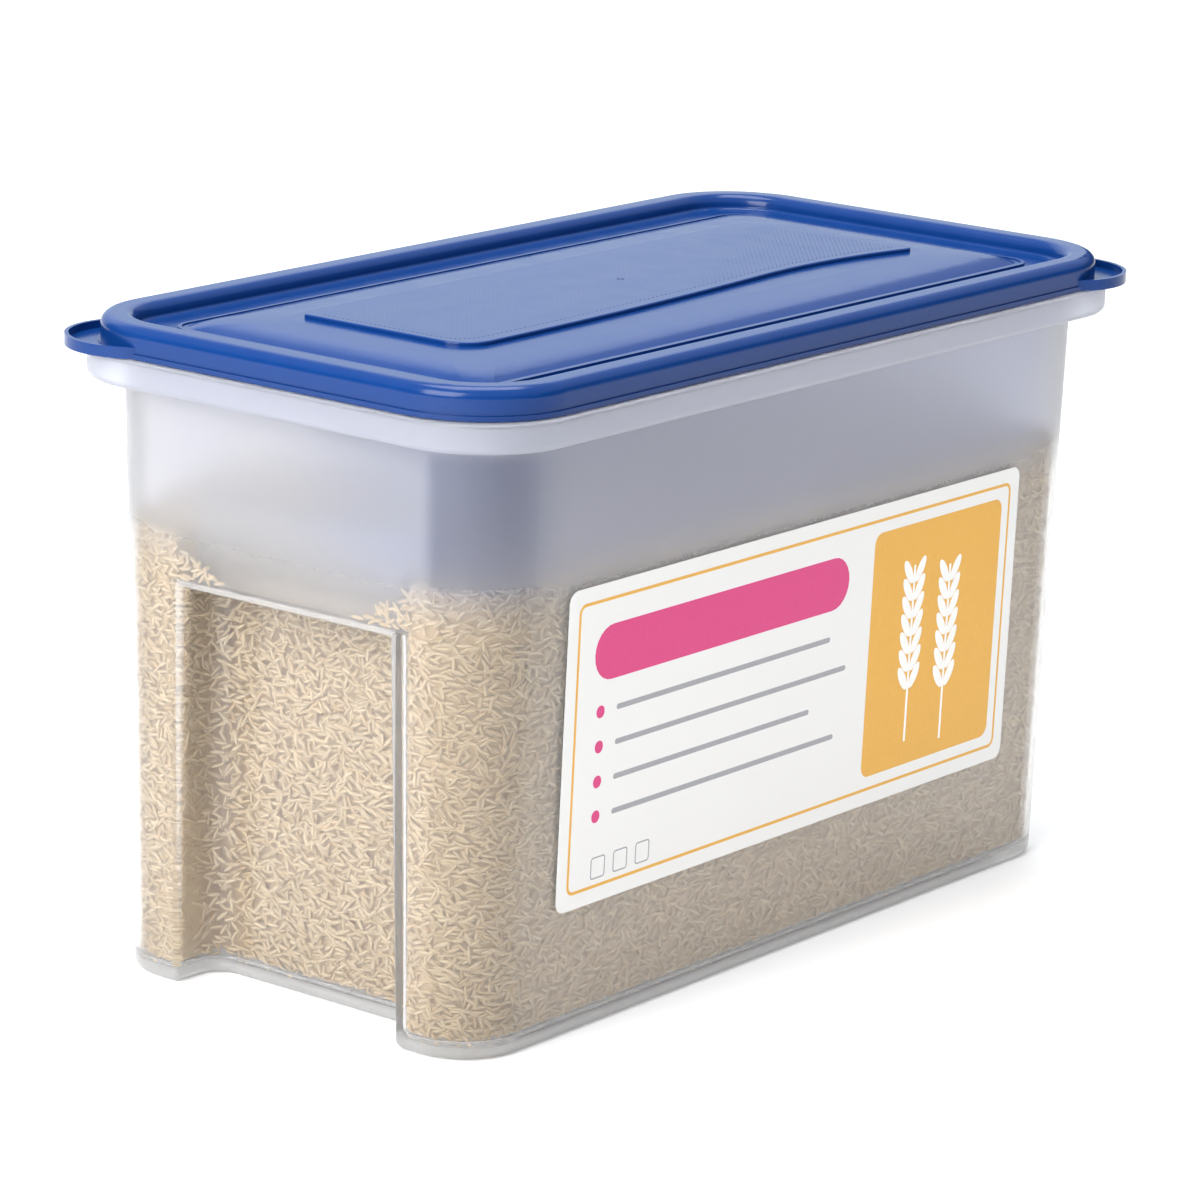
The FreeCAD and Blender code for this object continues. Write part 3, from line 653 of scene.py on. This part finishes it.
def wall_grains(path, low, high, level=None):
    points, inward = path
    gaps = np.linalg.norm(np.roll(points, -1, axis=0) - points, axis=1)
    length = gaps.sum()
    marks = np.concatenate(([0], np.cumsum(gaps)))[:-1]
    columns = int(length / CELL_ALONG)
    rows = int((high - low) / CELL_UP)
    col, row = np.meshgrid(np.arange(columns), np.arange(rows))
    place = (col.ravel() + rng.uniform(0, 1, col.size)) / columns * length
    height = low + (row.ravel() + rng.uniform(0, 1, col.size)) / rows * (high - low)
    index = np.searchsorted(marks, place, side="right") - 1
    base, into = points[index], inward[index]
    if level is not None:
        keep = height < level(base)
        base, into, height, place = base[keep], into[keep], height[keep], place[keep]
    tilt = rng.normal(0, WALL_TILT, height.size)
    under = np.clip(FILLET_TOP - height, 0, FILLET)
    fillet = FILLET - np.sqrt(np.clip(FILLET**2 - under**2, 0, None))
    depth = SKIN_GAP + TILT_ROOM * np.abs(np.sin(tilt)) + rng.uniform(0, DEPTH_SPREAD, height.size)
    depth += (SHELF - height) * TAN + fillet
    middle = np.column_stack((base + into * depth[:, None], height))
    normal = np.column_stack((into, np.zeros(height.size)))
    sideways = np.column_stack((-into[:, 1], into[:, 0], np.zeros(height.size)))
    upward = np.tile((0.0, 0.0, 1.0), (height.size, 1))
    way = turned(sideways, upward, rng.normal(0, WALL_TURN, height.size))
    way = unit(turned(way, normal, tilt))
    return middle, way, square_to(way, normal), place / length


def top_grains():
    xs, ys = np.meshgrid(np.arange(-TOP_X, TOP_X, TOP_STEP_X), np.arange(-TOP_Y, TOP_Y, TOP_STEP_Y))
    px = xs.ravel() + rng.uniform(0, TOP_STEP_X, xs.size)
    py = ys.ravel() + rng.uniform(0, TOP_STEP_Y, xs.size)
    well = (np.abs(px) > WELL_X) & (np.abs(py) < WELL_Y)
    dx = np.clip(np.abs(px) - (ROOM_X - ROOM_R), 0, None)
    dy = np.clip(np.abs(py) - (ROOM_Y - ROOM_R), 0, None)
    keep = (np.hypot(dx, dy) < ROOM_R - EDGE_GAP) & ~well
    px, py = px[keep], py[keep]
    height = rice_level(px, py) + rng.uniform(TOP_LOW, TOP_HIGH, px.size)
    middle = np.column_stack((px, py, height))
    angle = rng.uniform(0, math.pi, px.size)
    way = unit(np.column_stack((np.cos(angle), np.sin(angle), rng.normal(0, TOP_TILT, px.size))))
    normal = np.tile((0.0, 0.0, 1.0), (px.size, 1))
    return middle, way, square_to(way, normal), (px + TOP_SPAN) / (2 * TOP_SPAN)


# %% [markdown]
# The grains are copied into a few large meshes, each a stretch of the wall or of the top. An attribute
# gives every grain its own tone.

# %% Lay the grains
WALL_PIECES, TOP_PIECES = 7, 3
WALL_LOW, WALL_HIGH, OVER_SHELF = 7.0, 192.0, 1.2
SMALLEST, LARGEST = 0.84, 1.1


def grain_piece(name, middle, way, normal):
    across = np.cross(normal, way)
    size = rng.uniform(SMALLEST, LARGEST, len(middle))[:, None, None]
    local = grain_points[None] * size
    points = middle[:, None] + local[..., :1] * way[:, None] + local[..., 1:2] * across[:, None]
    points = points + local[..., 2:] * normal[:, None]
    count = len(grain_points)
    faces = [tuple(i + k * count for i in face) for k in range(len(middle)) for face in grain_faces]
    mesh = bpy.data.meshes.new(name)
    mesh.from_pydata((points.reshape(-1, 3) * MM).tolist(), [], faces)
    tone = mesh.attributes.new("grain_tone", "FLOAT", "POINT")
    tones = np.repeat(rng.beta(4, 2, len(middle)), count)
    tone.data.foreach_set("value", tones.astype(np.float32))
    mesh.polygons.foreach_set("use_smooth", np.ones(len(mesh.polygons), bool))
    mesh.materials.append(rice_skin)
    piece = bpy.data.objects.new(name, mesh)
    bpy.context.collection.objects.link(piece)
    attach(piece, "container")


def lay_grains(name, count, middle, way, normal, place):
    for number in range(count):
        mine = (place * count).astype(int) == number
        grain_piece(f"{name}_{number + 1}", middle[mine], way[mine], normal[mine])
    print(name, "grains:", len(middle))


lower = wall_grains(lower_path, WALL_LOW, SHELF)
upper = wall_grains(upper_path, SHELF + OVER_SHELF, WALL_HIGH, gap_level)
lay_grains("rice_wall", WALL_PIECES, *(np.concatenate(pair) for pair in zip(lower, upper)))
lay_grains("rice_top", TOP_PIECES, *top_grains())

# %% [markdown]
# The block in the middle of the rice is a box with the tub's taper, rounded upright edges, and a
# hollow at each end for the grip housing. It stays a few millimetres behind the grains.

# %% Middle of the rice
CORE_IN, CORE_LOW, CORE_HIGH, CORE_TONE = 3.0, 8.0, 183.0, 0.5
CORE_ROUND, HALF_WAY = 24, 50
HOLLOW_HALF, HOLLOW_TALL, HOLLOW_MIDDLE, HOLLOW_IN = 20, 120, 100, 4.5
bpy.ops.mesh.primitive_cube_add(size=2)
core = named("rice_core")
core.scale = ((ROOM_X - CORE_IN) * MM, (ROOM_Y - CORE_IN) * MM, (CORE_HIGH - CORE_LOW) / 2 * MM)
core.location = (0, 0, (CORE_HIGH + CORE_LOW) / 2 * MM)
settle(core)
edit_chosen(core, "FACE", lambda points: all(p.z < HALF_WAY * MM for p in points))
drop = (SHELF - CORE_LOW) * TAN
taper = (1 - drop / ROOM_X, 1 - drop / ROOM_Y, 1)
bpy.ops.transform.resize(value=taper, center_override=(0, 0, 0))
done_editing()
edit_chosen(core, "EDGE", lambda points: abs(points[0].z - points[1].z) > HALF_WAY * MM)
bpy.ops.mesh.bevel(offset=CORE_ROUND * MM, segments=8)
done_editing()
for side in (1, -1):
    bpy.ops.mesh.primitive_cube_add(size=2)
    hollow = named("housing_hollow")
    hollow.scale = (HOLLOW_HALF * MM, (NOTCH_Y + CORE_IN + 1) * MM, HOLLOW_TALL * MM)
    hollow_x = side * (BACK_X - CORE_IN - HOLLOW_IN + HOLLOW_HALF)
    hollow.location = (hollow_x * MM, 0, HOLLOW_MIDDLE * MM)
    settle(hollow)
    combine(core, hollow, "DIFFERENCE")
dress(core, rice_skin)
core_tone = core.data.attributes.new("grain_tone", "FLOAT", "POINT")
core_tone.data.foreach_set("value", np.full(len(core.data.vertices), CORE_TONE, np.float32))
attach(core, "container")
print("rice core:", len(core.data.polygons), "faces")

# %% [markdown]
# ## Studio
# The container stands on a plain white floor. A large soft light stands to the left of the picture,
# a second hangs overhead, and a wide bluish one behind the object is what the glossy lid mirrors.
# The sky is dim near the horizon and bright higher up. Sizes and places here are in metres.

# %% Floor and lights
FLOOR_SIZE, FLOOR_COLOUR, FLOOR_GLOW = 12, (0.88, 0.88, 0.88, 1), 0.14
bpy.ops.mesh.primitive_plane_add(size=FLOOR_SIZE, location=(0, 0, 0))
floor = named("floor")
chalky, tree, shader = new_finish("studio_floor", Base_Color=FLOOR_COLOUR, Roughness=0.8)
shader.inputs["Emission Color"].default_value = (1, 1, 1, 1)
shader.inputs["Emission Strength"].default_value = FLOOR_GLOW
floor.data.materials.append(chalky)


def soft_light(name, location, target, size, power, colour=(1, 1, 1)):
    bpy.ops.object.light_add(type="AREA", location=location)
    lamp = bpy.context.view_layer.objects.active
    lamp.name = name
    lamp.data.shape = "RECTANGLE"
    lamp.data.size, lamp.data.size_y = size
    lamp.data.energy = power
    lamp.data.color = colour
    lamp.rotation_euler = (Vector(target) - Vector(location)).to_track_quat("-Z", "Y").to_euler()


LOW_AIM, LID_AIM = (0, 0, 0.1), (0, 0, 0.26)
soft_light("key", (-2.2, -0.1, 1.3), LOW_AIM, size=(1.6, 1.6), power=71)
soft_light("overhead", (0.1, 0.2, 2.2), LOW_AIM, size=(1.6, 1.2), power=42)
soft_light("back", (1.66, 2.5, 1.4), LID_AIM, size=(3.6, 2.8), power=29, colour=(0.8, 0.92, 1.0))

# %% Sky
SKY_COLOUR = (0.95, 0.97, 1.0, 1)
SKY_HEIGHTS, SKY_STRENGTHS = (0.19, 0.5), (0.06, 0.75)
world = bpy.data.worlds.new("studio")
bpy.context.scene.world = world
world.use_nodes = True
sky = world.node_tree
background = sky.nodes["Background"]
background.inputs["Color"].default_value = SKY_COLOUR
direction = node(sky, "ShaderNodeTexCoord").outputs["Generated"]
height = node(sky, "ShaderNodeSeparateXYZ", {0: direction}).outputs[2]
sky.links.new(ramp(sky, height, *SKY_HEIGHTS, *SKY_STRENGTHS), background.inputs["Strength"])

# %% [markdown]
# ## Camera
# The camera stands well back to the left of the labelled wall, a little above the lid, with a long lens.

# %% Camera at the photograph's angle
AZ, EL, ROLL = math.radians(-52.277), math.radians(14.42), math.radians(1.793)
CAMERA_PLACE, LENS, SENSOR = (-1.62462, -1.25146, 0.65759), 154.21, 36
back = Vector((math.sin(AZ) * math.cos(EL), -math.cos(AZ) * math.cos(EL), math.sin(EL)))
right = Vector((math.cos(AZ), math.sin(AZ), 0))
up = back.cross(right)
right_rolled = right * math.cos(ROLL) + up * math.sin(ROLL)
up_rolled = up * math.cos(ROLL) - right * math.sin(ROLL)
axes = Matrix((right_rolled, up_rolled, back)).transposed()
bpy.ops.object.camera_add(location=CAMERA_PLACE, rotation=axes.to_euler())
camera = bpy.context.view_layer.objects.active
camera.data.lens = LENS
camera.data.sensor_width = SENSOR
camera.data.clip_end = 50
bpy.context.scene.camera = camera
bpy.context.scene.view_settings.view_transform = "Standard"
